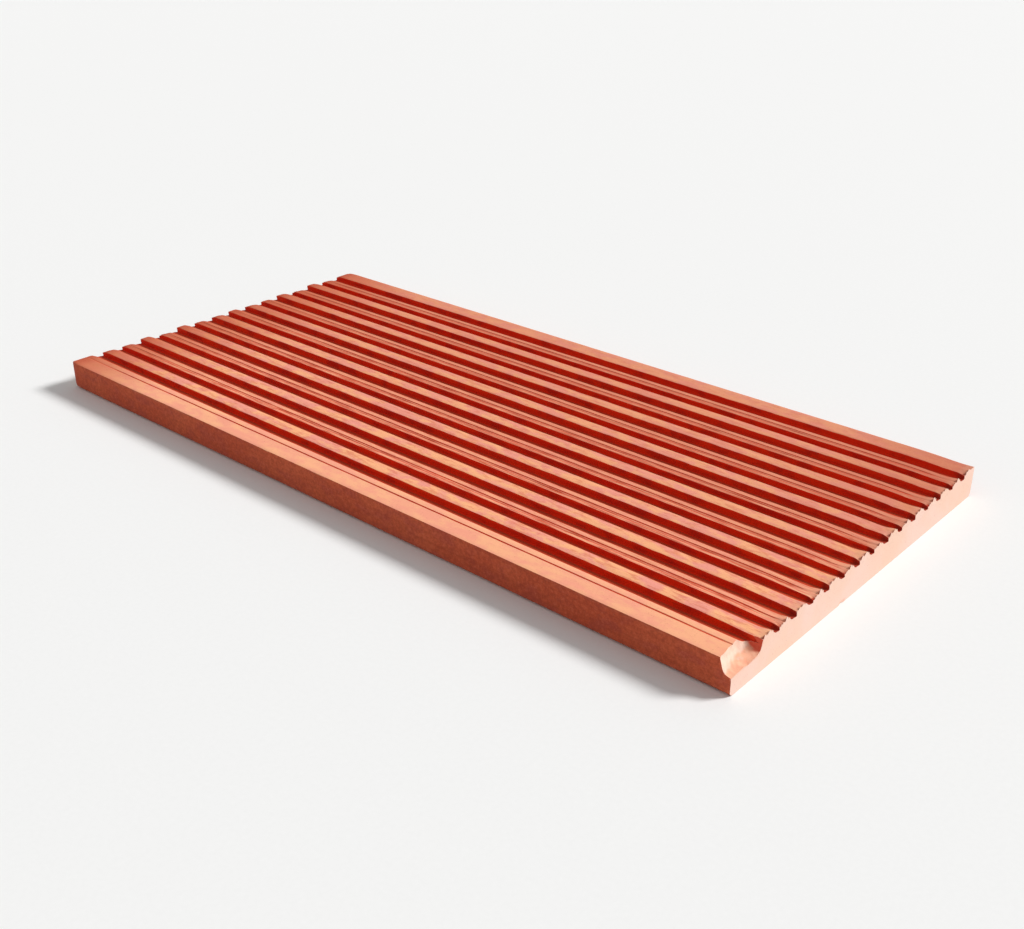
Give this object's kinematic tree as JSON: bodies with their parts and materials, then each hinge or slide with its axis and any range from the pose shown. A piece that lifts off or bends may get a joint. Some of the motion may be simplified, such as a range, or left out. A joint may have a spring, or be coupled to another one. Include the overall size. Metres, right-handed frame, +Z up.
{
  "type": "terracotta floor tile",
  "caption": "Flat rectangular split tile of fired clay, smooth on its wearing face, with parallel undercut grooves along its back.",
  "frame": {"origin": "centre of the smooth wearing face, which the tile lies on", "axes": "+X along the tile's length and its ribs, +Y across the ribs, +Z up out of the ribbed back"},
  "size_m": [0.24, 0.115, 0.009],
  "materials": {
    "clay": "unglazed, matte fired terracotta"
  },
  "bodies": {
    "root": {"tile": "clay"}
  },
  "joints": []
}
